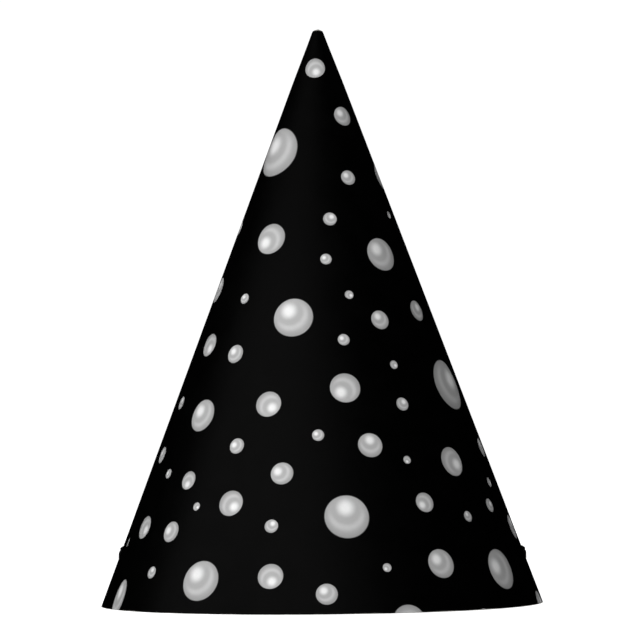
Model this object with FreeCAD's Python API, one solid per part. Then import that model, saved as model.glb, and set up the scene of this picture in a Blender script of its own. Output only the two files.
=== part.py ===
import FreeCAD, Part
import math
import os

# A cone hat rolled from one sheet of printed card, lapped and stuck at the back,
# with a round chin elastic knotted outside two punched holes.
# Millimetres. +Z runs from the rim to the tip, the front faces -Y, and the origin
# is the centre of the rim's plane. Azimuths are degrees from the front towards +X.

# Cone
BASE_DIAMETER = 150.0       # outside, across the rim
TIP_DIAMETER = 3.7          # outside, across the blunt end of the rolled tip
CONE_HEIGHT = 195.0         # rim to blunt tip
CARD_THICKNESS = 0.35

# Lapped seam
EDGE_AZIMUTH = 173.0        # outer layer's cut edge, the one seen from behind
FLAP_ANGLE = 14.0           # flap that lies under the outer layer
STEP_ANGLE = 12.0           # width over which the card dips under that edge
STEP_SECTIONS = 8           # straight lengths that make up the dip
TAPE_THICKNESS = 0.10
TAPE_WIDTH = 5.0
TAPE_BOTTOM = 8.0           # height of the tape's lower end
TAPE_LENGTH_UP = 117.0      # height that the tape covers

# Chin elastic
HOLE_AZIMUTH = 99.0         # either side of the front
HOLE_HEIGHT = 18.0          # centre above the rim, on the outside
CORD_DIAMETER = 1.0
HOLE_CLEARANCE = 0.8        # hole's diameter over the cord's
KNOT_WIDTH = 2.8
KNOT_THICKNESS = 1.7        # how far a knot stands off the card
TAIL_LENGTH = 1.3           # cut end of the cord below its knot
FLOOR_GAP = 0.1             # under the cord where it lies
INNER_LEAD = 10.0           # straight cord inside each hole, along the hole's axis
OUTER_LEAD = 1.5            # start of the cord's path outside the card, trimmed off

CORD_LIES_AT = CORD_DIAMETER / 2 + FLOOR_GAP

# The elastic's route inside the cone between its two leads, from the left hole to
# the right one: down to the surface that the rim stands on, and along it.
CORD_ROUTE = [
    (-50.5, 3.0, 8.0),
    (-43.0, -6.0, CORD_LIES_AT),
    (-33.0, -25.0, CORD_LIES_AT),
    (-12.0, -41.0, CORD_LIES_AT),
    (15.0, -45.0, CORD_LIES_AT),
    (37.0, -35.0, CORD_LIES_AT),
    (43.0, -13.0, CORD_LIES_AT),
    (29.0, 3.0, CORD_LIES_AT),
    (8.0, 6.0, CORD_LIES_AT),
    (-13.0, 10.0, CORD_LIES_AT),
    (-24.0, 27.0, CORD_LIES_AT),
    (-10.0, 44.0, CORD_LIES_AT),
    (15.0, 48.0, CORD_LIES_AT),
    (36.0, 38.0, CORD_LIES_AT),
    (45.0, 21.0, CORD_LIES_AT),
    (50.5, 9.5, 8.0),
]

BASE_RADIUS = BASE_DIAMETER / 2
TIP_RADIUS = TIP_DIAMETER / 2
SLOPE = (BASE_RADIUS - TIP_RADIUS) / CONE_HEIGHT
HALF_ANGLE = math.atan(SLOPE)
LAP_DEPTH = CARD_THICKNESS + TAPE_THICKNESS     # outside of the card to outside of its flap

UP = FreeCAD.Vector(0, 0, 1)
CENTRE = FreeCAD.Vector(0, 0, 0)


def outer_radius(height):
    """Radius of the cone's outside at a height."""
    return BASE_RADIUS - SLOPE * height


def at(azimuth, radius, height):
    """Point at an azimuth from the front, a radius and a height."""
    turn = math.radians(azimuth)
    return FreeCAD.Vector(radius * math.sin(turn), -radius * math.cos(turn), height)


def wall_section(azimuth, depth, thickness, bottom=0.0, top=CONE_HEIGHT):
    """Closed outline of the wall cut by the half-plane at an azimuth, between two heights.

    depth is measured square to the wall, from the cone's outside to the section's.
    """
    outer = depth / math.cos(HALF_ANGLE)
    inner = (depth + thickness) / math.cos(HALF_ANGLE)
    corners = [
        at(azimuth, outer_radius(bottom) - outer, bottom),
        at(azimuth, outer_radius(top) - outer, top),
        at(azimuth, outer_radius(top) - inner, top),
        at(azimuth, outer_radius(bottom) - inner, bottom),
    ]
    return Part.makePolygon(corners + corners[:1])


def wall(azimuth, angle, depth, thickness, bottom=0.0, top=CONE_HEIGHT):
    """Conical wall from an azimuth through an angle."""
    section = Part.Face(wall_section(azimuth, depth, thickness, bottom, top))
    return section.revolve(CENTRE, UP, angle)


def outside_cone():
    """Solid cone bounded by the hat's outside."""
    return Part.makeCone(BASE_RADIUS, TIP_RADIUS, CONE_HEIGHT)


def step_down():
    """Card that dips from the outside of the cone to the depth of the flap."""
    sections = []
    for index in range(STEP_SECTIONS + 1):
        share = index / STEP_SECTIONS
        depth = LAP_DEPTH * (1 - math.cos(math.pi * share)) / 2
        azimuth = EDGE_AZIMUTH - STEP_ANGLE * (1 - share)
        sections.append(wall_section(azimuth, depth, CARD_THICKNESS))
    return Part.makeLoft(sections, True, True)


def hole_direction(side):
    """Unit vector along a hole's axis, out of the cone. side is -1 for left, 1 for right."""
    return at(side * HOLE_AZIMUTH, math.cos(HALF_ANGLE), math.sin(HALF_ANGLE))


def hole_point(side, outwards=0.0):
    """Point on a hole's axis, a distance outwards from the card's outside."""
    centre = at(side * HOLE_AZIMUTH, outer_radius(HOLE_HEIGHT), HOLE_HEIGHT)
    return centre + hole_direction(side) * outwards


def punched_hole(side):
    """Cylinder that a hole takes out of the card."""
    reach = 3 * CARD_THICKNESS
    radius = (CORD_DIAMETER + HOLE_CLEARANCE) / 2
    return Part.makeCylinder(radius, 2 * reach, hole_point(side, -reach), hole_direction(side))


def paper_cone():
    """Rolled card: a nearly full turn, the dip beside its edge, and the flap under it."""
    full = wall(EDGE_AZIMUTH, 360 - STEP_ANGLE, 0, CARD_THICKNESS)
    flap = wall(EDGE_AZIMUTH, FLAP_ANGLE, LAP_DEPTH, CARD_THICKNESS)
    sheet = full.fuse([step_down(), flap])
    return sheet.cut([punched_hole(-1), punched_hole(1)])


def seam_tape():
    """Straight strip of double-sided tape between the two layers of the lap."""
    middle = EDGE_AZIMUTH + FLAP_ANGLE / 2
    top = TAPE_BOTTOM + TAPE_LENGTH_UP
    film = wall(EDGE_AZIMUTH, FLAP_ANGLE, CARD_THICKNESS, TAPE_THICKNESS, TAPE_BOTTOM, top)
    strip = Part.makeBox(TAPE_WIDTH, BASE_RADIUS, CONE_HEIGHT, FreeCAD.Vector(-TAPE_WIDTH / 2, 0, 0))
    strip.rotate(CENTRE, UP, middle - 180)
    return film.common(strip)


def cord_points():
    """Corners of the elastic's route, from outside the left hole to outside the right one."""
    start = [hole_point(-1, OUTER_LEAD), hole_point(-1, -INNER_LEAD)]
    finish = [hole_point(1, -INNER_LEAD), hole_point(1, OUTER_LEAD)]
    return start + [FreeCAD.Vector(*point) for point in CORD_ROUTE] + finish


def rounded_path(points):
    """Straight runs joined by tangent arcs, as large as the runs beside each corner allow."""
    edges = []
    radii = []
    run_start = points[0]
    for before, corner, after in zip(points, points[1:], points[2:]):
        back = before - corner
        ahead = after - corner
        turn = math.pi - back.getAngle(ahead)
        tangent_length = 0.45 * min(back.Length, ahead.Length)
        radius = tangent_length / math.tan(turn / 2)
        back.normalize()
        ahead.normalize()
        arc_start = corner + back * tangent_length
        arc_end = corner + ahead * tangent_length
        bisector = back + ahead
        bisector.normalize()
        arc_middle = corner + bisector * (radius / math.cos(turn / 2) - radius)
        edges.append(Part.LineSegment(run_start, arc_start).toShape())
        edges.append(Part.Arc(arc_start, arc_middle, arc_end).toShape())
        radii.append(radius)
        run_start = arc_end
    edges.append(Part.LineSegment(run_start, points[-1]).toShape())
    print("elastic: arc radii in mm", [round(radius, 1) for radius in radii])
    return Part.Wire(edges)


def elastic_cord():
    """Round elastic, trimmed flush with the outside of the card at both holes."""
    points = cord_points()
    path = rounded_path(points)
    circle = Part.makeCircle(CORD_DIAMETER / 2, points[0], points[1] - points[0])
    tube = path.makePipeShell([Part.Wire(circle)], True, False)
    section = math.pi * CORD_DIAMETER ** 2 / 4
    print("elastic: path length %.1f mm, volume over section x length %.4f"
          % (path.Length, tube.Volume / (section * path.Length)))
    return tube.common(outside_cone())


def knot(side):
    """Pulled-up knot flush on the card, with its short cut tail below."""
    rounding = KNOT_THICKNESS / 2
    body = Part.makeCylinder(KNOT_WIDTH / 2, KNOT_THICKNESS + CARD_THICKNESS,
                             hole_point(side, -CARD_THICKNESS), hole_direction(side))
    outer_rim = max(body.Edges, key=lambda edge: edge.CenterOfMass.dot(hole_direction(side)))
    body = body.makeFillet(0.9 * rounding, [outer_rim])
    down_the_wall = hole_direction(side).cross(UP).cross(hole_direction(side)) * -1
    down_the_wall.normalize()
    tail_root = hole_point(side, rounding)
    tail = Part.makeCylinder(CORD_DIAMETER / 2, KNOT_WIDTH / 2 + TAIL_LENGTH, tail_root, down_the_wall)
    return body.fuse(tail).cut(outside_cone())


def main():
    os.makedirs("parts", exist_ok=True)
    nodes = {
        "paper_cone": paper_cone(),
        "seam_tape": seam_tape(),
        "elastic_cord": elastic_cord(),
        "knot_left": knot(-1),
        "knot_right": knot(1),
    }
    for name, shape in nodes.items():
        shape.exportStep("parts/%s.step" % name)
        print("%-13s solids %d  valid %s  volume %.2f mm3"
              % (name, len(shape.Solids), shape.isValid(), shape.Volume))


main()
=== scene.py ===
import math
import random

import bpy
import numpy as np
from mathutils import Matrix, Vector


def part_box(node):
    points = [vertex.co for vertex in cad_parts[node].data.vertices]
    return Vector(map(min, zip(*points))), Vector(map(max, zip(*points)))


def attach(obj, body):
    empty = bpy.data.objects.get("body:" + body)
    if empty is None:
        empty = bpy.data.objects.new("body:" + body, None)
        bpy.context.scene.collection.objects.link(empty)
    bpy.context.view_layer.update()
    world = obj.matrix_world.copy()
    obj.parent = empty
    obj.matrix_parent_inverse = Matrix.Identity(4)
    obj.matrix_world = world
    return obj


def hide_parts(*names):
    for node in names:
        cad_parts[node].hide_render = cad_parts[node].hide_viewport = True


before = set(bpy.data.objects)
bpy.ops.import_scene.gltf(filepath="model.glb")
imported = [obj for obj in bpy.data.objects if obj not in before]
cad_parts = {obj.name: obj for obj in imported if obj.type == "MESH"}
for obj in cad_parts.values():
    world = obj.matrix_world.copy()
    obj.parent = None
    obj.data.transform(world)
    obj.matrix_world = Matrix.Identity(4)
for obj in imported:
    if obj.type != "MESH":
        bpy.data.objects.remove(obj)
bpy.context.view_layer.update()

# ---------------------------------------------------------------- sizes, in metres and degrees

cone_low, cone_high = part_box("paper_cone")
tape_low, tape_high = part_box("seam_tape")

CONE_HEIGHT = cone_high.z
BASE_RADIUS = round((cone_high.x - cone_low.x) / 2, 3)
TIP_RADIUS = 0.00185
CARD = 0.00035                # thickness
SLOPE = (BASE_RADIUS - TIP_RADIUS) / CONE_HEIGHT
HALF_ANGLE = math.atan(SLOPE)
APEX_HEIGHT = BASE_RADIUS / SLOPE

EDGE_AZIMUTH = 173.0          # the lap's visible cut edge, from the front towards +X
FLAP_ANGLE = 14.0             # flap that lies under the outer layer
STEP_ANGLE = 12.0             # width over which the card dips under the cut edge
LAP_GAP = 0.0001              # the tape's thickness, between the lap's two layers
TAPE_WIDTH = tape_high.x - tape_low.x
TAPE_CLEARANCE = 0.1          # share of the gap left free on each side of the tape

# Waves in the rolled card round the turn: size, number of waves, and start in radians.
# The first list's sizes are shares of the radius and the second's are heights.
RADIUS_WAVES = [(-0.0012, 2, 0.0), (0.0005, 3, -1.1), (0.0003, 7, 0.4)]
TIP_WAVES = [(0.00026, 2, 0.0), (0.00006, 1, 0.0), (0.00004, 5, -math.pi / 2)]
TIP_WAVES_REACH = 0.003       # how far below the tip its waves begin
TIP_DRAWN_IN = 0.00020        # how much the card is drawn in towards the tip
TIP_DRAWN_IN_START = 0.020    # how far below the tip that begins
TIP_DRAWN_IN_END = 0.002      # how far below the tip it is complete
TIP_SHOULDER = 0.0009         # depth of the rounding at the tip, and how far down it begins
TIP_SHOULDER_RISE = 0.0016    # height of the rounding's quarter ellipse
TIP_SHOULDER_PART = 0.98      # keeps the ellipse just short of level
RIM_SKEW = 0.00015            # how far the rim rises and falls about its mean height
RIM_SKEW_START = 10.0         # azimuth at which it passes that height
RIM_SKEW_REACH = 0.012        # height at which the skew has faded out

SWEEP_STEP = 1.25             # card grid's cell, round the turn
HEIGHT_STEP = 0.00195         # card grid's cell, up the card
TIP_ZONE = 0.002              # top of the card, where the grid is finer
TIP_ROWS = 8                  # rows of cells in it

HOLE_AZIMUTH = 99.0           # either side of the front
HOLE_HEIGHT = 0.018           # centre above the rim, on the outside
HOLE_RADIUS = 0.0009
CORD_DIAMETER = 0.001
CORD_STEP = 0.0003            # between two circles of the elastic's tube
INNER_LEAD = 0.010            # straight cord inside each hole
OUTER_LEAD = 0.0015           # start of the cord's path outside the card, trimmed off
CORD_LIES_AT = 0.0006         # height of the cord's middle where it lies
KNOT_CORD = 0.94              # the pulled-tight cord's diameter in a knot, over the cord's
KNOT_STEP = 0.00006           # between two circles of a knot's tube
KNOT_SIZE = 0.00040           # scale of the trefoil
KNOT_WEAVE = 0.00044          # how far it weaves in and out
KNOT_TURNS = (-0.62, 4.35)    # part of the trefoil that the cord follows (radians)
KNOT_POINTS = 16

# The chin elastic between its two straight leads, from the left hole to the right one.
CORD_ROUTE = [
    (-0.0505, 0.0030, 0.0080),
    (-0.0430, -0.0060, CORD_LIES_AT),
    (-0.0330, -0.0250, CORD_LIES_AT),
    (-0.0120, -0.0410, CORD_LIES_AT),
    (0.0150, -0.0450, CORD_LIES_AT),
    (0.0370, -0.0350, CORD_LIES_AT),
    (0.0430, -0.0130, CORD_LIES_AT),
    (0.0290, 0.0030, CORD_LIES_AT),
    (0.0080, 0.0060, CORD_LIES_AT),
    (-0.0130, 0.0100, CORD_LIES_AT),
    (-0.0240, 0.0270, CORD_LIES_AT),
    (-0.0100, 0.0440, CORD_LIES_AT),
    (0.0150, 0.0480, CORD_LIES_AT),
    (0.0360, 0.0380, CORD_LIES_AT),
    (0.0450, 0.0210, CORD_LIES_AT),
    (0.0505, 0.0095, 0.0080),
]

# Printed pearls on the front half: azimuth, height (mm), radius (mm), and the way its
# highlight lies from its middle, clockwise from straight up the card. A fifth number is
# its width as a share of its height, where it isn't round.
FRONT_PEARLS = [
    (-9, 182, 3.5, 160),
    (40, 165.5, 3.4, -40),
    (-53.7, 153.4, 8.65, -47),
    (84, 145, 4.4, 30),
    (28.5, 144.5, 2.6, -40),
    (68, 132, 1.3, 180),
    (8, 130.5, 2.3, 35),
    (-83.3, 128, 2.5, 60),
    (-35, 124, 5.4, -125),
    (43, 118.5, 5.8, -40),
    (4, 117, 1.9, -50),
    (-79.5, 107, 4.5, 10),
    (16, 105, 1.5, 110),
    (-44.5, 104, 1.8, -40),
    (60, 99.5, 3.6, 40),
    (-13.5, 97.5, 6.7, -35),
    (31.2, 96.5, 3.3, -30),
    (11, 90, 2.0, -50),
    (-63, 88.5, 4.0, 140),
    (-41.5, 85.5, 3.2, -50),
    (33.5, 81.5, 1.5, 115),
    (66, 74.5, 8.8, 60),
    (10, 74, 5.1, -135),
    (-73, 69, 2.3, 0),
    (33.5, 68.4, 2.3, 40),
    (-20.7, 68.8, 4.4, 130),
    (-51.5, 65, 5.6, -50),
    (-1, 58.5, 2.0, -55),
    (17.5, 55, 4.2, 0),
    (-31, 55, 2.7, -70),
    (79.4, 53.1, 3.3, -25),
    (-74, 51.5, 2.9, -55),
    (30.5, 50, 1.4, -170),
    (50.5, 49, 5.1, 115),
    (-13, 46, 3.8, -65),
    (-62, 45.5, 1.7, -75),
    (-49, 43.5, 3.2, 180),
    (72, 41.5, 1.7, 110),
    (33.8, 35.9, 3.4, -125),
    (-29.3, 36.2, 4.4, 130),
    (-42.2, 35, 1.45, 115),
    (65, 34, 2.4, 60),
    (7.6, 31.7, 7.4, -5),
    (50.2, 30.8, 1.9, -20),
    (-15, 28.8, 2.3, 25),
    (-66.5, 27.5, 4.0, 120),
    (-50.5, 26.5, 3.6, -75),
    (80.9, 26.2, 4.3, 20),
    (-78.1, 22.1, 1.6, 155, 0.45),
    (34.8, 15.8, 5.0, -45),
    (18, 15, 1.5, -130),
    (58.5, 13, 7.0, -70),
    (-54, 13, 2.1, 5),
    (-14, 12.5, 4.3, 160),
    (-34.6, 10.8, 6.9, -40),
    (1.2, 6.7, 3.6, -40),
    (-67.8, 3.7, 6.8, -30, 0.6),
    (22.3, -2.6, 5.8, 180),
    (80, 0, 4.9, 60),
    (45.5, -1.2, 2.0, 90),
]

# Pearls on the back half: their radii (mm) in the order in which they are placed.
BACK_RADII = ([8.0, 7.6, 7.2, 6.8] + [5.6, 5.2, 4.8, 4.6] * 3 + [4.1, 3.6, 3.3] * 5
              + [2.6, 2.2, 1.9, 1.5] * 8)
BACK_GAP = 4.0                # least black between two pearls (mm)
BACK_TRIES = 400              # places tried for each
BACK_SEED = 20
BACK_SWEEPS = (-2, 361)       # just past the cut edge, which cuts some of the pearls
BACK_AREAS = (0.004, 1.02)    # least and most of the flat card's area nearer to its apex
SIDE_AZIMUTH = 88.0           # where the front half's pearls end and the back's begin
PEARL_FAR = 9.0               # local coordinate, in pearl radii, that means no pearl


# ---------------------------------------------------------------- geometry helpers

def at(azimuth, radius, height):
    """Points at azimuths (degrees from the front towards +X), radii and heights, as an array."""
    turn = np.radians(azimuth)
    parts = np.broadcast_arrays(radius * np.sin(turn), -radius * np.cos(turn), height)
    return np.stack(parts, axis=-1)


def smooth(value, low, high):
    """0 below low, 1 above high and an S-curve between them."""
    share = np.clip((value - low) / (high - low), 0, 1)
    return share * share * (3 - 2 * share)


def waves(azimuth, rows):
    """Sum of cosine waves round the turn, from rows of size, number and start."""
    turn = np.radians(azimuth)
    return sum(size * np.cos(number * turn + start) for size, number, start in rows)


def outer_radius(height):
    """Radius of the cone's outside at a height."""
    return BASE_RADIUS - SLOPE * height


def depth_at(sweep):
    """How far the card's outside lies under the cone's, by degrees swept from the cut edge.

    Zero for most of the turn, then half a cosine wave down to the flap's depth before the cut
    edge, and level under the lap.
    """
    share = np.clip((sweep - (360 - STEP_ANGLE)) / STEP_ANGLE, 0, 1)
    return (CARD + LAP_GAP) * (1 - np.cos(np.pi * share)) / 2


def rim_height(sweep):
    """Height of the lower cut edge, which isn't quite square to the cone's axis."""
    return RIM_SKEW * (1 + np.sin(np.radians(EDGE_AZIMUTH + sweep - RIM_SKEW_START)))


def card_point(sweep, height, depth):
    """Point of the rolled card: the cone's radius less a depth square to the wall, out of round,
    drawn in a little over the top, and rounded by a quarter ellipse at the blunt tip."""
    azimuth = EDGE_AZIMUTH + sweep
    radius = outer_radius(height) - depth / math.cos(HALF_ANGLE)
    radius = radius * (1 + waves(azimuth, RADIUS_WAVES))
    drawn_in = TIP_DRAWN_IN * smooth(height, CONE_HEIGHT - TIP_DRAWN_IN_START,
                                     CONE_HEIGHT - TIP_DRAWN_IN_END)
    share = np.clip((height - CONE_HEIGHT + TIP_SHOULDER) / TIP_SHOULDER_RISE, 0, 1)
    shoulder = TIP_SHOULDER * (1 - np.sqrt(1 - TIP_SHOULDER_PART * share ** 2))
    return at(azimuth, radius - drawn_in - shoulder, height)


def new_piece(name, points, faces, material_names, face_materials=None):
    """Mesh object from arrays of points and of faces, with its materials, riding on the one body."""
    mesh = bpy.data.meshes.new(name)
    mesh.from_pydata(points, [], faces)
    for material in material_names:
        mesh.materials.append(bpy.data.materials[material])
    if face_materials is not None:
        mesh.polygons.foreach_set("material_index", np.asarray(face_materials, dtype=np.int32))
    mesh.polygons.foreach_set("use_smooth", np.ones(len(mesh.polygons), dtype=bool))
    mesh.update()
    piece = bpy.data.objects.new(name, mesh)
    bpy.context.scene.collection.objects.link(piece)
    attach(piece, "root")
    return piece


def add_uv(mesh, name, values):
    """UV map from an array with one row per face corner."""
    layer = mesh.uv_layers.new(name=name)
    layer.data.foreach_set("uv", np.asarray(values, dtype=np.float32).ravel())


def spline_line(points, order=3):
    """Points along an open NURBS spline through space, read from a curve with no bevel."""
    curve = bpy.data.curves.new("line", "CURVE")
    curve.dimensions = "3D"
    spline = curve.splines.new("NURBS")
    spline.points.add(len(points) - 1)
    for control, point in zip(spline.points, points):
        control.co = (*point, 1.0)
    spline.order_u = order
    spline.use_endpoint_u = True
    spline.resolution_u = 24
    holder = bpy.data.objects.new("line", curve)
    mesh = bpy.data.meshes.new_from_object(holder)
    line = np.zeros(len(mesh.vertices) * 3)
    mesh.vertices.foreach_get("co", line)
    bpy.data.objects.remove(holder)
    bpy.data.curves.remove(curve)
    bpy.data.meshes.remove(mesh)
    return line.reshape(-1, 3)


def spaced(line, step):
    """The same line with its points an even distance apart, and how far along each one is."""
    along = np.concatenate([[0], np.cumsum(np.linalg.norm(np.diff(line, axis=0), axis=1))])
    stations = np.linspace(0, along[-1], int(round(along[-1] / step)) + 1)
    even = np.stack([np.interp(stations, along, line[:, axis]) for axis in range(3)], axis=-1)
    return even, stations


def frames_along(line):
    """Unit tangents, and two unit normals carried along the line without twisting."""
    tangents = np.gradient(line, axis=0)
    tangents /= np.linalg.norm(tangents, axis=1, keepdims=True)
    any_direction = (0.3, 0.2, 1.0)
    across = np.cross(tangents[0], any_direction)
    across /= np.linalg.norm(across)
    firsts = [across]
    for tangent in tangents[1:]:
        across = across - tangent * np.dot(across, tangent)
        across /= np.linalg.norm(across)
        firsts.append(across)
    firsts = np.array(firsts)
    return tangents, firsts, np.cross(tangents, firsts)


def grid_quads(rows, columns, around=False):
    """Corner numbers of a grid's quads. around joins the last column to the first."""
    cells_across = columns if around else columns - 1
    row, column = np.meshgrid(np.arange(rows - 1), np.arange(cells_across), indexing="ij")
    right = (column + 1) % columns
    quads = np.stack([row * columns + column, row * columns + right,
                      (row + 1) * columns + right, (row + 1) * columns + column], axis=-1)
    return quads.reshape(-1, 4)


def closed_sheet(quads, side_points):
    """Faces of a sheet with two sides from the quads of one, and how many strips join them.

    Each side has side_points points, and the second's follow the first's. A free edge belongs to
    one quad only, and a strip there joins the two sides.
    """
    edges = np.stack([quads, np.roll(quads, -1, axis=1)], axis=-1).reshape(-1, 2)
    _, which, count = np.unique(np.sort(edges, axis=1), axis=0, return_inverse=True,
                                return_counts=True)
    free = edges[count[which.ravel()] == 1]
    start, end = free[:, 0], free[:, 1]
    strips = np.stack([end, start, start + side_points, end + side_points], axis=-1)
    return np.concatenate([quads, quads[:, ::-1] + side_points, strips]), len(strips)


# ---------------------------------------------------------------- printed pearls

def hole_sweeps():
    """Degrees swept from the cut edge to the left hole and to the right one."""
    return [(side * HOLE_AZIMUTH - EDGE_AZIMUTH) % 360 for side in (-1, 1)]


def flat_place(sweep, height):
    """Developed angle and distance from the cone's apex of a point, on the flat card."""
    return np.radians(sweep) * math.sin(HALF_ANGLE), (APEX_HEIGHT - height) / math.cos(HALF_ANGLE)


def flat_offset(sweep, height, pearl):
    """Offsets of points from a pearl's middle on the flat card: to the right, and up the card."""
    angle, reach = flat_place(sweep, height)
    pearl_angle, pearl_reach = flat_place(pearl[0], pearl[1])
    turn = angle - pearl_angle
    return reach * np.sin(turn), pearl_reach - reach * np.cos(turn)


def all_pearls():
    """Every printed pearl as (sweep, height, radius, highlight turn), in degrees and metres, with
    its width as a share of its height where it isn't round.

    The front's are as listed. The back's are dropped at seeded random places, largest first,
    and a place is kept if the whole pearl is behind the sides and leaves the least gap to each
    pearl already there and to the holes.
    """
    pearls = [((azimuth - EDGE_AZIMUTH) % 360, height / 1000, radius / 1000, turn, *narrow)
              for azimuth, height, radius, turn, *narrow in FRONT_PEARLS]
    left_side = (-SIDE_AZIMUTH - EDGE_AZIMUTH) % 360
    right_side = (SIDE_AZIMUTH - EDGE_AZIMUTH) % 360
    holes = [(hole_sweep, HOLE_HEIGHT, 2 * HOLE_RADIUS) for hole_sweep in hole_sweeps()]
    draw = random.Random(BACK_SEED)
    for radius in BACK_RADII:
        for _ in range(BACK_TRIES):
            sweep = draw.choice([draw.uniform(BACK_SWEEPS[0], left_side),
                                 draw.uniform(right_side, BACK_SWEEPS[1])])
            height = APEX_HEIGHT * (1 - math.sqrt(draw.uniform(*BACK_AREAS)))
            turn = draw.randrange(-180, 180, 5)
            gaps = [math.hypot(*flat_offset(other[0], other[1], (sweep, height))) - other[2]
                    for other in pearls + holes]
            from_side = np.radians(min(abs(sweep - left_side), abs(sweep - right_side)))
            behind = from_side * outer_radius(height) > radius / 1000
            if behind and min(gaps) > (radius + BACK_GAP) / 1000:
                pearls.append((sweep, height, radius / 1000, turn))
                break
    return pearls


def pearl_map(sweep, height, pearls):
    """Local coordinates of each face corner in the pearl nearest to its face's middle.

    In units of that pearl's radius from its middle, turned so that the highlight lies along +V.
    sweep and height have one row per face and one column per corner.
    """
    middle_sweep, middle_height = sweep.mean(axis=1), height.mean(axis=1)
    gaps = [np.hypot(*flat_offset(middle_sweep, middle_height, pearl)) - pearl[2]
            for pearl in pearls]
    nearest = np.argmin(gaps, axis=0)
    local = np.full(sweep.shape + (2,), PEARL_FAR)
    for index, pearl in enumerate(pearls):
        mine = nearest == index
        right, up = flat_offset(sweep[mine], height[mine], pearl)
        if len(pearl) > 4:
            right = right / pearl[4]
        cosine, sine = math.cos(math.radians(pearl[3])), math.sin(math.radians(pearl[3]))
        local[mine, :, 0] = (right * cosine - up * sine) / pearl[2]
        local[mine, :, 1] = (right * sine + up * cosine) / pearl[2]
    return np.clip(local, -PEARL_FAR, PEARL_FAR)


# ---------------------------------------------------------------- node helpers

class Graph:
    """Short ways to place and join nodes in a material's or a group's tree."""

    def __init__(self, tree):
        self.tree = tree
        self.tree.nodes.clear()

    def node(self, kind, **settings):
        """New node with some of its settings changed."""
        made = self.tree.nodes.new(kind)
        for name, value in settings.items():
            setattr(made, name, value)
        return made

    def set(self, socket, value):
        """Joins an input to another node's output, or gives it a constant."""
        if isinstance(value, bpy.types.NodeSocket):
            self.tree.links.new(value, socket)
        else:
            socket.default_value = value

    def math(self, operation, first, second=0.0):
        made = self.node("ShaderNodeMath", operation=operation)
        self.set(made.inputs[0], first)
        self.set(made.inputs[1], second)
        return made.outputs[0]

    def smooth(self, value, low, high, start=0.0, end=1.0):
        """Smooth step from start to end as value goes from low to high."""
        made = self.node("ShaderNodeMapRange", interpolation_type="SMOOTHSTEP")
        for name, given in zip(("Value", "From Min", "From Max", "To Min", "To Max"),
                               (value, low, high, start, end)):
            self.set(made.inputs[name], given)
        return made.outputs[0]

    def mix(self, share, first, second):
        """Colour first where share is 0, second where it is 1."""
        made = self.node("ShaderNodeMix", data_type="RGBA")
        sockets = {socket.identifier: socket for socket in made.inputs}
        self.set(sockets["Factor_Float"], share)
        self.set(sockets["A_Color"], first)
        self.set(sockets["B_Color"], second)
        return next(socket for socket in made.outputs if socket.identifier == "Result_Color")

    def noise(self, vector, scale, detail=3.0, roughness=0.5):
        made = self.node("ShaderNodeTexNoise")
        self.set(made.inputs["Vector"], vector)
        made.inputs["Scale"].default_value = scale
        made.inputs["Detail"].default_value = detail
        made.inputs["Roughness"].default_value = roughness
        return made.outputs["Fac"]

    def squares(self, first, second):
        """Sum of two values' squares."""
        return self.math("ADD", self.math("MULTIPLY", first, first),
                         self.math("MULTIPLY", second, second))

    def grey(self, value):
        """Colour with one value in all three channels."""
        made = self.node("ShaderNodeCombineColor")
        for channel in made.inputs:
            self.set(channel, value)
        return made.outputs[0]

    def object_place(self):
        return self.node("ShaderNodeTexCoord").outputs["Object"]

    def map_place(self, name):
        return self.node("ShaderNodeUVMap", uv_map=name).outputs["UV"]

    def split(self, vector):
        made = self.node("ShaderNodeSeparateXYZ")
        self.set(made.inputs[0], vector)
        return made.outputs[0], made.outputs[1], made.outputs[2]

    def group(self, name, values):
        """Node group with the given inputs set, and its outputs."""
        made = self.node("ShaderNodeGroup")
        made.node_tree = bpy.data.node_groups[name]
        for label, value in values.items():
            self.set(made.inputs[label], value)
        return made.outputs


def group_tree(name, inputs, outputs):
    """Empty node group with named inputs and outputs, and its two end nodes."""
    tree = bpy.data.node_groups.new(name, "ShaderNodeTree")
    for label, kind, default in inputs:
        socket = tree.interface.new_socket(label, in_out="INPUT", socket_type="NodeSocket" + kind)
        if default is not None:
            socket.default_value = default
    for label, kind in outputs:
        tree.interface.new_socket(label, in_out="OUTPUT", socket_type="NodeSocket" + kind)
    graph = Graph(tree)
    return graph, graph.node("NodeGroupInput").outputs, graph.node("NodeGroupOutput").inputs


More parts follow.
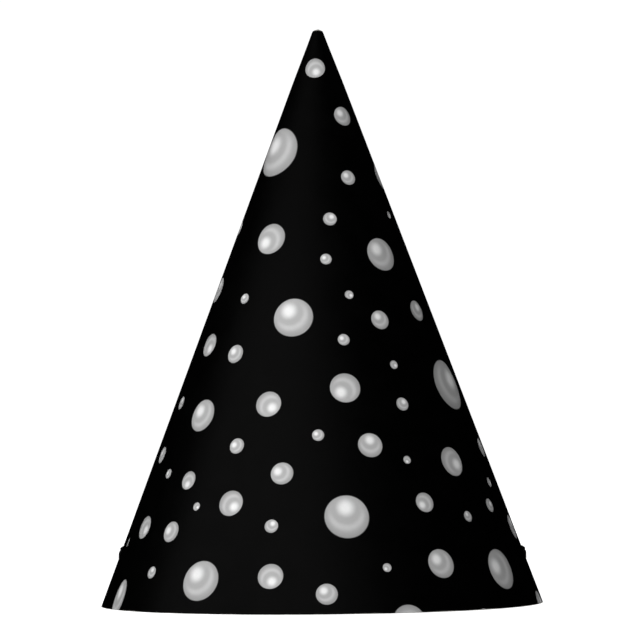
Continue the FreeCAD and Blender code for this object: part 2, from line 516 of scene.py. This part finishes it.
def make_pearl_group():
    """One printed pearl from its local coordinates: where it is, and its tone.

    Distances are in pearl radii. The tone is a mid grey, a round near-white highlight off centre,
    a lighter crescent across from it, and a darker rim. The crescent and the grey ring between
    follow circles whose centre slides from the highlight to the pearl's middle as they grow, and
    the crescent is a little flatter than those.
    """
    mid_grey = 0.465
    highlight_tone = 0.46         # added in the highlight
    crescent_tone = 0.12          # added in the crescent
    rim_tones = (0.02, 0.11)      # taken off at the rim beside the highlight, and across from it
    flatness = 0.14
    graph, given, made = group_tree(
        "printed_pearl",
        [("Local", "Vector", None), ("Highlight offset", "Float", 0.43), ("Softness", "Float", 0.03)],
        [("Mask", "Float"), ("Tone", "Float")])
    across, along, _ = graph.split(given["Local"])
    offset = given["Highlight offset"]
    from_middle = graph.math("SQRT", graph.squares(across, along))
    below = graph.math("SUBTRACT", along, offset)
    squared = graph.squares(across, below)
    from_highlight = graph.math("SQRT", squared)

    # circle is the radius of the sliding circle through a point. facing is 1 straight across
    # from the highlight and -1 on its own side.
    rest = graph.math("SUBTRACT", 1.0, graph.math("MULTIPLY", offset, offset))
    lean = graph.math("MULTIPLY", below, offset)
    root = graph.math("SQRT", graph.math("ADD", graph.math("MULTIPLY", lean, lean),
                                         graph.math("MULTIPLY", rest, squared)))
    circle = graph.math("DIVIDE", graph.math("ADD", lean, root), rest)
    not_zero = graph.math("ADD", from_highlight, 0.001)
    facing = graph.math("DIVIDE", graph.math("MULTIPLY", below, -1.0), not_zero)
    opposite = graph.smooth(facing, -0.2, 1.0)

    glow = graph.smooth(from_highlight, 0.11, 0.55, highlight_tone, 0.0)
    flatter = graph.math("MULTIPLY", graph.math("SUBTRACT", 1.0, facing), flatness)
    arc = graph.math("SUBTRACT", circle, flatter)
    rise = graph.smooth(arc, 0.48, 0.64)
    fall = graph.smooth(arc, 0.65, 0.83, 1.0, 0.0)
    crescent = graph.math("MULTIPLY", graph.math("MULTIPLY", rise, fall),
                          graph.smooth(opposite, 0.0, 1.0, 0.0, crescent_tone))
    rim = graph.math("MULTIPLY", graph.smooth(circle, 0.72, 1.0),
                     graph.smooth(facing, -0.6, 1.0, *rim_tones))
    lit = graph.math("ADD", graph.math("ADD", mid_grey, glow), crescent)
    graph.set(made["Tone"], graph.math("SUBTRACT", lit, rim))

    inner = graph.math("SUBTRACT", 1.0, given["Softness"])
    outer = graph.math("ADD", 1.0, given["Softness"])
    graph.set(made["Mask"], graph.smooth(from_middle, inner, outer, 1.0, 0.0))


def make_fibre_group():
    """Paper fibres: fine grain over soft clumps, as a height and as a slow mottle, both 0 to 1."""
    graph, given, made = group_tree(
        "card_fibre",
        [("Place", "Vector", None), ("Fibre size", "Float", 0.0004)],
        [("Height", "Float"), ("Mottle", "Float")])
    scaled = graph.node("ShaderNodeVectorMath", operation="SCALE")
    graph.set(scaled.inputs[0], given["Place"])
    graph.set(scaled.inputs["Scale"], graph.math("DIVIDE", 1.0, given["Fibre size"]))
    place = scaled.outputs[0]
    fine = graph.noise(place, 1.0, 4.0, 0.6)
    clumps = graph.noise(place, 0.22, 2.0, 0.5)
    graph.set(made["Height"], graph.math("ADD", graph.math("MULTIPLY", fine, 0.7),
                                         graph.math("MULTIPLY", clumps, 0.3)))
    graph.set(made["Mottle"], graph.noise(place, 0.035, 3.0, 0.6))


def make_wear_group():
    """Rubbed edge: 1 at a cut edge, fading to 0 over a width that a noise makes uneven."""
    graph, given, made = group_tree(
        "edge_rub",
        [("Place", "Vector", None), ("Distance", "Float", 1.0), ("Width", "Float", 0.0005)],
        [("Amount", "Float")])
    uneven = graph.noise(given["Place"], 900.0, 3.0, 0.65)
    patchy = graph.smooth(graph.noise(given["Place"], 60.0, 2.0, 0.5), 0.42, 0.62, 0.25, 1.0)
    reach = graph.math("MULTIPLY", given["Width"], graph.math("MULTIPLY", uneven, patchy))
    share = graph.math("DIVIDE", given["Distance"], reach)
    graph.set(made["Amount"], graph.smooth(share, 0.5, 1.6, 1.0, 0.0))


def make_braid_group():
    """Braided cover: two sets of threads that wind opposite ways and pass over and under.

    Along and Around count threads. The height is the rounded top of whichever thread is over.
    """
    graph, given, made = group_tree(
        "braid",
        [("Along", "Float", 0.0), ("Around", "Float", 0.0)],
        [("Height", "Float"), ("Which", "Float")])
    heights = []
    for operation in ("ADD", "SUBTRACT"):
        winding = graph.math(operation, given["Along"], given["Around"])
        wave = graph.math("SINE", graph.math("MULTIPLY", winding, math.pi))
        heights.append(graph.math("ABSOLUTE", wave))
    passing = graph.math("SINE", graph.math("MULTIPLY", given["Along"], math.pi))
    over = graph.smooth(passing, -0.3, 0.3)
    blend = graph.node("ShaderNodeMix", data_type="FLOAT")
    graph.set(blend.inputs["Factor"], over)
    graph.set(blend.inputs["A"], heights[0])
    graph.set(blend.inputs["B"], heights[1])
    graph.set(made["Height"], blend.outputs["Result"])
    graph.set(made["Which"], over)


def material(name, roughness, specular, sheen=0.0):
    """New material's graph and its Principled shader, joined to the output."""
    made = bpy.data.materials.new(name)
    made.use_nodes = True
    graph = Graph(made.node_tree)
    shader = graph.node("ShaderNodeBsdfPrincipled")
    shader.inputs["Roughness"].default_value = roughness
    shader.inputs["Specular IOR Level"].default_value = specular
    shader.inputs["Sheen Weight"].default_value = sheen
    graph.set(graph.node("ShaderNodeOutputMaterial").inputs["Surface"], shader.outputs[0])
    return graph, shader


def add_bump(graph, shader, height, distance):
    """Bump from a height between 0 and 1, which stands for a distance."""
    bump = graph.node("ShaderNodeBump")
    bump.inputs["Strength"].default_value = 1.0
    bump.inputs["Distance"].default_value = distance
    graph.set(bump.inputs["Height"], height)
    graph.set(shader.inputs["Normal"], bump.outputs["Normal"])


def make_print_material():
    """Black ink with grey pearls on card: near-black with a faint mottle, and rubbed cut edges."""
    graph, shader = material("pearl_print", 0.38, specular=0.25)
    place = graph.object_place()
    pearl = graph.group("printed_pearl", {"Local": graph.map_place("pearl")})
    fibre = graph.group("card_fibre", {"Place": place, "Fibre size": 0.0003})
    edges, _, _ = graph.split(graph.map_place("edge"))
    rub = graph.group("edge_rub", {"Place": place, "Distance": edges, "Width": 0.0004})

    ink = graph.grey(graph.smooth(fibre["Mottle"], 0.3, 0.7, 0.0003, 0.0006))
    grain = graph.smooth(fibre["Height"], 0.3, 0.7, 0.97, 1.03)
    pearl_ink = graph.grey(graph.math("MULTIPLY", pearl["Tone"], grain))
    printed = graph.mix(pearl["Mask"], ink, pearl_ink)
    rubbed_card = (0.35, 0.34, 0.32, 1.0)
    graph.set(shader.inputs["Base Color"], graph.mix(rub["Amount"], printed, rubbed_card))
    graph.set(shader.inputs["Roughness"], graph.smooth(fibre["Mottle"], 0.25, 0.75, 0.35, 0.41))
    add_bump(graph, shader, fibre["Height"], 0.00002)


def make_bare_material():
    """Uncoated white card, for the inside and the cut edges."""
    graph, shader = material("bare_card", 0.85, specular=0.3)
    darker, lighter = (0.76, 0.745, 0.71, 1.0), (0.84, 0.83, 0.80, 1.0)
    fleck_colour = (0.60, 0.575, 0.53, 1.0)
    fibre = graph.group("card_fibre", {"Place": graph.object_place(), "Fibre size": 0.00045})
    tone = graph.mix(graph.smooth(fibre["Mottle"], 0.3, 0.7), darker, lighter)
    flecks = graph.smooth(fibre["Height"], 0.30, 0.42, 0.35, 0.0)
    graph.set(shader.inputs["Base Color"], graph.mix(flecks, tone, fleck_colour))
    add_bump(graph, shader, fibre["Height"], 0.00006)


def make_elastic_material():
    """Black braided elastic: dark threads with lighter tops, painted shade in the grooves, and a soft
    sheen.
    """
    graph, shader = material("braided_elastic", 0.8, specular=0.12, sheen=0.04)
    # between is painted shade for the grooves between the threads; top is the threads' own colour.
    between, top = (0.001, 0.001, 0.001, 1.0), (0.010, 0.010, 0.0105, 1.0)
    other_thread = (0.004, 0.004, 0.0045, 1.0)
    along, around, _ = graph.split(graph.map_place("thread"))
    braid = graph.group("braid", {"Along": along, "Around": around})
    # Painted shade: the colour darkens from the thread tops down into the grooves, following the
    # braid's height.
    thread = graph.mix(braid["Height"], between, top)
    shade = graph.smooth(braid["Which"], 0.0, 1.0, 0.0, 0.3)
    graph.set(shader.inputs["Base Color"], graph.mix(shade, thread, other_thread))
    add_bump(graph, shader, braid["Height"], 0.00003)


def make_tape_material():
    """Double-sided tape: a cloudy film with streaks of adhesive along it."""
    graph, shader = material("cloudy_tape", 0.5, specular=0.4)
    darker, lighter = (0.66, 0.63, 0.55, 1.0), (0.80, 0.78, 0.72, 1.0)
    stretch = graph.node("ShaderNodeMapping")
    stretch.inputs["Scale"].default_value = (1500.0, 1500.0, 150.0)
    graph.set(stretch.inputs["Vector"], graph.object_place())
    streaks = graph.noise(stretch.outputs[0], 1.0, 3.0, 0.6)
    graph.set(shader.inputs["Base Color"],
              graph.mix(graph.smooth(streaks, 0.35, 0.65), darker, lighter))
    graph.set(shader.inputs["Roughness"], graph.smooth(streaks, 0.3, 0.7, 0.35, 0.6))
    add_bump(graph, shader, streaks, 0.00002)


# ---------------------------------------------------------------- pieces

def grid_lines(low, high, step, fine_places, fine_step):
    """Evenly spaced values from low to high, with a finer patch of nine about each given place."""
    patch = fine_step * np.arange(-4, 5)
    too_near = 4.6 * fine_step    # where an even line would lie in the patch or crowd it
    lines = np.linspace(low, high, int(round((high - low) / step)) + 1)
    for place in fine_places:
        lines = lines[np.abs(lines - place) > too_near]
        lines = np.concatenate([lines, place + patch])
    return np.sort(lines)


def open_hole(sweep, height, hole_sweep):
    """Moves the grid about a hole so that squares round its middle become circles, fading out
    at twice the hole's radius, and says which points are inside the hole's rim."""
    arc = np.radians(1) * outer_radius(HOLE_HEIGHT)
    across = (sweep - hole_sweep) * arc
    up = (height - HOLE_HEIGHT) / math.cos(HALF_ANGLE)
    square = np.maximum(np.abs(across), np.abs(up))
    round_distance = np.maximum(np.hypot(across, up), 1e-9)
    weight = np.clip((2 * HOLE_RADIUS - square) / HOLE_RADIUS, 0, 1)
    scale = 1 + weight * (square / round_distance - 1)
    moved_sweep = hole_sweep + across * scale / arc
    moved_height = HOLE_HEIGHT + up * scale * math.cos(HALF_ANGLE)
    inside = square < 0.99 * HOLE_RADIUS
    return moved_sweep, moved_height, inside


def build_cone():
    """The rolled card: a grid of sweep and height, laid on its outside and its inside, with the
    cells inside the two holes left out and a strip of cut card along every free edge."""
    arc = np.radians(1) * outer_radius(HOLE_HEIGHT)
    fine = HOLE_RADIUS / 2
    sweeps = grid_lines(0, 360 + FLAP_ANGLE, SWEEP_STEP, hole_sweeps(), fine / arc)
    heights = grid_lines(0, CONE_HEIGHT - TIP_ZONE, HEIGHT_STEP, [HOLE_HEIGHT],
                         fine * math.cos(HALF_ANGLE))
    tip_heights = CONE_HEIGHT - TIP_ZONE + TIP_ZONE * np.linspace(0, 1, TIP_ROWS + 1)[1:]
    height, sweep = np.meshgrid(np.concatenate([heights, tip_heights]), sweeps, indexing="ij")
    rows, columns = sweep.shape
    inside_hole = np.zeros(sweep.shape, dtype=bool)
    for hole_sweep in hole_sweeps():
        sweep, height, inside = open_hole(sweep, height, hole_sweep)
        inside_hole |= inside

    height = height + rim_height(sweep) * (1 - smooth(height, 0.0, RIM_SKEW_REACH))
    # The blunt end of the roll is a little uneven, and highest at the front and the back.
    near_tip = smooth(height, CONE_HEIGHT - TIP_WAVES_REACH, CONE_HEIGHT)
    height = height + waves(EDGE_AZIMUTH + sweep, TIP_WAVES) * near_tip

    depth = depth_at(sweep)
    outer = card_point(sweep, height, depth).reshape(-1, 3)
    inner = card_point(sweep, height, depth + CARD).reshape(-1, 3)
    quads = grid_quads(rows, columns)
    quads = quads[~inside_hole.ravel()[quads].any(axis=1)]
    faces, strip_count = closed_sheet(quads, rows * columns)
    kinds = np.repeat([0, 1, 1], [len(quads), len(quads), strip_count])

    # The points inside the holes are left out.
    used = np.unique(faces)
    renumber = np.zeros(2 * rows * columns, dtype=int)
    renumber[used] = np.arange(len(used))
    points = np.concatenate([outer, inner])[used]
    piece = new_piece("card_cone", points, renumber[faces], ["pearl_print", "bare_card"], kinds)

    sweep_of = np.tile(sweep.ravel(), 2)[faces]
    height_of = np.tile(height.ravel(), 2)[faces]
    local = np.full(faces.shape + (2,), PEARL_FAR)
    printed = (kinds == 0) & (sweep_of.mean(axis=1) < 360)
    local[printed] = pearl_map(sweep_of[printed], height_of[printed], all_pearls())
    add_uv(piece.data, "pearl", local)

    from_lap = np.abs(np.radians(sweep_of)) * outer_radius(height_of)
    from_rim = (height_of - rim_height(sweep_of)) / math.cos(HALF_ANGLE)
    from_tip = np.maximum(CONE_HEIGHT - height_of, 0) / math.cos(HALF_ANGLE)
    nearest_edge = np.minimum(np.minimum(from_lap, from_rim), from_tip)
    add_uv(piece.data, "edge", np.stack([nearest_edge, np.zeros_like(nearest_edge)], axis=-1))
    add_uv(piece.data, "OFBake", bake_layout(faces, kinds, sweep_of, height_of, len(quads)))
    piece.data.set_sharp_from_angle(angle=math.radians(45))
    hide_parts("paper_cone")


def bake_layout(faces, kinds, sweep, height, face_count):
    """Sheet of the whole piece for baking: the outside above, the inside below it, and the strips
    of cut card side by side in a thin band along the bottom."""
    margin = 0.005
    width = 1 - 2 * margin
    outside_low, outside_tall = 0.33, 0.66
    inside_low, inside_tall = 0.035, 0.285
    strip_tall, strip_fill = 0.018, 0.9
    share = np.clip(height / (CONE_HEIGHT + 0.001), 0, 1)
    layout = np.zeros(faces.shape + (2,))
    layout[..., 0] = margin + width * sweep / (360 + FLAP_ANGLE)
    layout[..., 1] = np.where((kinds == 0)[:, None], outside_low + outside_tall * share,
                              inside_low + inside_tall * share)
    strips = np.arange(len(faces) - 2 * face_count)
    step = width / max(len(strips), 1)
    left = margin + step * strips
    corners = np.array([(strip_fill, 0.0), (0.0, 0.0), (0.0, 1.0), (strip_fill, 1.0)])
    layout[2 * face_count:, :, 0] = left[:, None] + step * corners[:, 0]
    layout[2 * face_count:, :, 1] = margin + strip_tall * corners[:, 1]
    return layout


def build_tape():
    """Thin strip of tape between the lap's layers: two faces of a grid joined round their edge."""
    rows, columns = 60, 5
    heights = np.linspace(tape_low.z, tape_high.z, rows)
    height, place = np.meshgrid(heights, np.linspace(-0.5, 0.5, columns), indexing="ij")
    sweep = FLAP_ANGLE / 2 + np.degrees(place * TAPE_WIDTH / outer_radius(height))
    outer = card_point(sweep, height, CARD + TAPE_CLEARANCE * LAP_GAP).reshape(-1, 3)
    inner = card_point(sweep, height, CARD + (1 - TAPE_CLEARANCE) * LAP_GAP).reshape(-1, 3)
    faces, _ = closed_sheet(grid_quads(rows, columns), rows * columns)
    piece = new_piece("lap_tape", np.concatenate([outer, inner]), faces, ["cloudy_tape"])
    piece.data.set_sharp_from_angle(angle=math.radians(45))
    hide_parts("seam_tape")


def build_tube(name, line, along, diameter):
    """Braided tube: circles carried along a line, each end closed by a low dome.

    The radius rises and falls by a fortieth where two sets of threads cross, and a map counts
    the threads along and around the tube.
    """
    sides = 16
    threads = 6
    thread_height = 0.025         # share of the radius
    pitch = 1.1 * diameter
    dome_height = 0.18 * diameter
    dome_rings = 3
    tilt = np.linspace(0, np.pi / 2, dome_rings + 2)[1:-1]
    tangents, firsts, seconds = frames_along(line)
    first_pole = line[0] - tangents[0] * dome_height
    last_pole = line[-1] + tangents[-1] * dome_height
    starts = line[0] - tangents[0] * dome_height * np.cos(tilt)[:, None]
    ends = line[-1] + tangents[-1] * dome_height * np.cos(tilt)[::-1, None]
    centres = np.concatenate([starts, line, ends])
    sizes = np.concatenate([np.sin(tilt), np.ones(len(line)), np.sin(tilt)[::-1]])
    firsts, seconds = (np.pad(normals, ((dome_rings, dome_rings), (0, 0)), mode="edge")
                       for normals in (firsts, seconds))
    stations = np.pad(along, dome_rings, mode="edge")

    turn = 2 * np.pi * np.arange(sides) / sides
    counted_along = stations[:, None] / pitch
    counted_around = threads * turn[None, :] / (2 * np.pi)
    weave = (np.sin(np.pi * (counted_along + counted_around))
             * np.sin(np.pi * (counted_along - counted_around)))
    radius = diameter / 2 * sizes[:, None] * (1 + thread_height * weave)
    ring = firsts[:, None] * np.cos(turn)[:, None] + seconds[:, None] * np.sin(turn)[:, None]
    points = (centres[:, None] + ring * radius[..., None]).reshape(-1, 3)
    points = np.concatenate([points, [first_pole, last_pole]])

    # Quads between the circles, and a fan of triangles from each dome's top to its first circle.
    rows = len(centres)
    column = np.arange(sides)
    right = (column + 1) % sides
    last = (rows - 1) * sides
    first_fan = np.stack([np.full(sides, rows * sides), right, column], axis=-1)
    last_fan = np.stack([last + column, last + right, np.full(sides, rows * sides + 1)], axis=-1)
    faces = [*grid_quads(rows, sides, around=True).tolist(), *first_fan.tolist(), *last_fan.tolist()]
    piece = new_piece(name, points, faces, ["braided_elastic"])

    row = np.arange(rows - 1)[:, None, None]
    quad_rows = np.broadcast_to(row + np.array([0, 0, 1, 1]), (rows - 1, sides, 4))
    quad_columns = np.broadcast_to(column[:, None] + np.array([0, 1, 1, 0]), (rows - 1, sides, 4))
    first_columns = column[:, None] + np.array([0.5, 1, 0])
    last_columns = column[:, None] + np.array([0, 1, 0.5])
    corner_stations = np.concatenate([stations[quad_rows].ravel(), np.full(3 * sides, stations[0]),
                                      np.full(3 * sides, stations[-1])])
    corner_columns = np.concatenate([quad_columns.ravel(), first_columns.ravel(), last_columns.ravel()])
    counts = [corner_stations / pitch, threads * corner_columns / sides]
    add_uv(piece.data, "thread", np.stack(counts, axis=-1))
    return piece


def hole_axis(side):
    """Unit vectors out of the cone along a punched hole and up the card, and the hole's middle."""
    azimuth = side * HOLE_AZIMUTH
    outwards = at(azimuth, math.cos(HALF_ANGLE), math.sin(HALF_ANGLE))
    up_card = at(azimuth, -math.sin(HALF_ANGLE), math.cos(HALF_ANGLE))
    middle = at(azimuth, outer_radius(HOLE_HEIGHT), HOLE_HEIGHT)
    return outwards, up_card, middle


def build_knot(side, name, node, drop, stand_off):
    """Overhand knot on the card, a drop below its hole and with its middle stood off the card: a
    trefoil opened at its lowest lobe, one end into the hole and the other a short cut tail.

    In the card's plane the trefoil is (cos t - 2 cos 2t, sin t + 2 sin 2t), and it weaves in and
    out as sin 3t. Its points are sideways, up the card and out of it, in metres.
    """
    outwards, up_card, middle = hole_axis(side)
    sideways = np.cross(up_card, outwards)
    turns = np.linspace(*KNOT_TURNS, KNOT_POINTS)
    lobes = np.stack([KNOT_SIZE * (np.cos(turns) - 2 * np.cos(2 * turns)),
                      KNOT_SIZE * (np.sin(turns) + 2 * np.sin(2 * turns)),
                      stand_off - KNOT_WEAVE * np.sin(3 * turns)], axis=-1)
    tail = [(0.0001, -0.0030, 0.0008), (0.0, -0.0023, 0.0010), (0.0, -0.0015, 0.0013)]
    into_hole = [(0.0001, 0.0, 0.0002), (0, drop, -0.0004), (0, drop, -0.0012)]
    local = np.concatenate([tail, lobes, into_hole]) - (0, drop, 0)
    directions = np.stack([sideways * side, up_card, outwards])
    line, along = spaced(spline_line(middle + local @ directions, order=4), KNOT_STEP)
    piece = build_tube(name, line, along, KNOT_CORD * CORD_DIAMETER)
    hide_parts(node)
    return piece


def build_elastic():
    """The chin elastic: from the left hole down onto the floor, along it in loose curves, and up
    to the right hole."""
    ends = []
    for side in (-1, 1):
        outwards, _, middle = hole_axis(side)
        ends.append([middle + outwards * OUTER_LEAD, middle - outwards * INNER_LEAD])
    route = ends[0] + [np.array(point) for point in CORD_ROUTE] + ends[1][::-1]
    line = spline_line(route)
    outside = np.hypot(line[:, 0], line[:, 1]) > outer_radius(line[:, 2])
    line, along = spaced(line[~outside], CORD_STEP)
    piece = build_tube("chin_elastic", line, along, CORD_DIAMETER)
    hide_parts("elastic_cord")


# ---------------------------------------------------------------- stage

def add_camera():
    """Level camera in front of the hat's middle, with a long lens and a slight roll."""
    level = math.radians(90)
    roll = math.radians(0.48)
    data = bpy.data.cameras.new("camera")
    data.sensor_width = 36
    data.lens = 335.5
    data.clip_start = 0.05
    data.clip_end = 200
    camera = bpy.data.objects.new("camera", data)
    camera.location = (0.00067, -2.04, 0.09595)
    camera.rotation_euler = (level, roll, 0)
    bpy.context.scene.collection.objects.link(camera)
    bpy.context.scene.camera = camera


def add_area_light(name, azimuth, elevation, distance, size, power, lights):
    """Soft light that faces the hat's middle and lights either its diffuse or its glossy side."""
    data = bpy.data.lights.new(name, "AREA")
    data.shape = "RECTANGLE"
    data.size, data.size_y = size
    data.energy = power
    light = bpy.data.objects.new(name, data)
    target = Vector((0, 0, 0.09))
    rise = math.radians(elevation)
    away = Vector(at(azimuth, math.cos(rise), math.sin(rise)))
    light.location = target + away * distance
    light.rotation_euler = away.to_track_quat("Z", "Y").to_euler()
    light.visible_camera = False
    light.visible_diffuse = lights == "diffuse"
    light.visible_glossy = lights == "glossy"
    bpy.context.scene.collection.objects.link(light)


def add_world():
    """White behind everything, and a dim white dome for the rest of the light."""
    backdrop_strength = 1.05
    dome_strength = 0.03
    world = bpy.data.worlds.new("studio")
    world.use_nodes = True
    graph = Graph(world.node_tree)
    seen = graph.node("ShaderNodeBackground")
    seen.inputs["Strength"].default_value = backdrop_strength
    dome = graph.node("ShaderNodeBackground")
    paths = graph.node("ShaderNodeLightPath").outputs
    dome_light = graph.math("MULTIPLY", paths["Is Diffuse Ray"], dome_strength)
    graph.set(dome.inputs["Strength"], dome_light)
    both = graph.node("ShaderNodeMixShader")
    graph.set(both.inputs[0], paths["Is Camera Ray"])
    graph.set(both.inputs[1], dome.outputs[0])
    graph.set(both.inputs[2], seen.outputs[0])
    for background in (seen, dome):
        background.inputs["Color"].default_value = (1, 1, 1, 1)
    graph.set(graph.node("ShaderNodeOutputWorld").inputs["Surface"], both.outputs[0])
    bpy.context.scene.world = world


def add_floor():
    """Large white floor that glows softly and so stays white, except in the dark under the hat."""
    half_width = 60.0
    glow, glow_seen = 0.66, 1.05      # strengths for other rays, and for the camera's
    graph, shader = material("studio_floor", 0.9, specular=0.1)
    tone = graph.smooth(graph.noise(graph.object_place(), 3.0), 0.3, 0.7, 0.80, 0.82)
    graph.set(shader.inputs["Base Color"], graph.grey(tone))
    shader.inputs["Emission Color"].default_value = (1, 1, 1, 1)
    camera_ray = graph.node("ShaderNodeLightPath").outputs["Is Camera Ray"]
    across, along, _ = graph.split(graph.object_place())
    from_middle = graph.math("SQRT", graph.squares(across, along))
    outside_hat = graph.smooth(from_middle, 0.93 * BASE_RADIUS, 0.99 * BASE_RADIUS)
    strength = graph.smooth(camera_ray, 0.0, 1.0, glow, glow_seen)
    graph.set(shader.inputs["Emission Strength"], graph.math("MULTIPLY", strength, outside_hat))
    signs = [(-1, -1), (1, -1), (1, 1), (-1, 1)]
    corners = [(half_width * x, half_width * y, 0) for x, y in signs]
    mesh = bpy.data.meshes.new("floor")
    mesh.from_pydata(corners, [], [(0, 1, 2, 3)])
    mesh.materials.append(bpy.data.materials["studio_floor"])
    floor = bpy.data.objects.new("floor", mesh)
    bpy.context.scene.collection.objects.link(floor)
    floor.visible_glossy = False


def main():
    bpy.context.scene.view_settings.view_transform = "Standard"
    add_camera()
    add_world()
    add_area_light("key", azimuth=-25, elevation=19, distance=0.5, size=(0.25, 0.35),
                   power=1.65, lights="diffuse")
    add_area_light("strip", azimuth=-32.5, elevation=32, distance=0.8, size=(3.2, 0.25),
                   power=1.0, lights="glossy")
    add_area_light("back_fill", azimuth=165, elevation=30, distance=1.0, size=(0.6, 0.6),
                   power=2.6, lights="diffuse")
    add_area_light("back_strip", azimuth=180, elevation=60, distance=0.8, size=(1.0, 0.3),
                   power=0.5, lights="glossy")
    add_floor()

    for make in (make_pearl_group, make_fibre_group, make_wear_group, make_braid_group,
                 make_print_material, make_bare_material, make_elastic_material, make_tape_material):
        make()
    knots = [build_knot(-1, "knot_left_elastic", "knot_left", drop=-0.0003, stand_off=0.00088),
             build_knot(1, "knot_right_elastic", "knot_right", drop=0.0007, stand_off=0.00107)]
    build_elastic()
    build_cone()
    build_tape()


main()
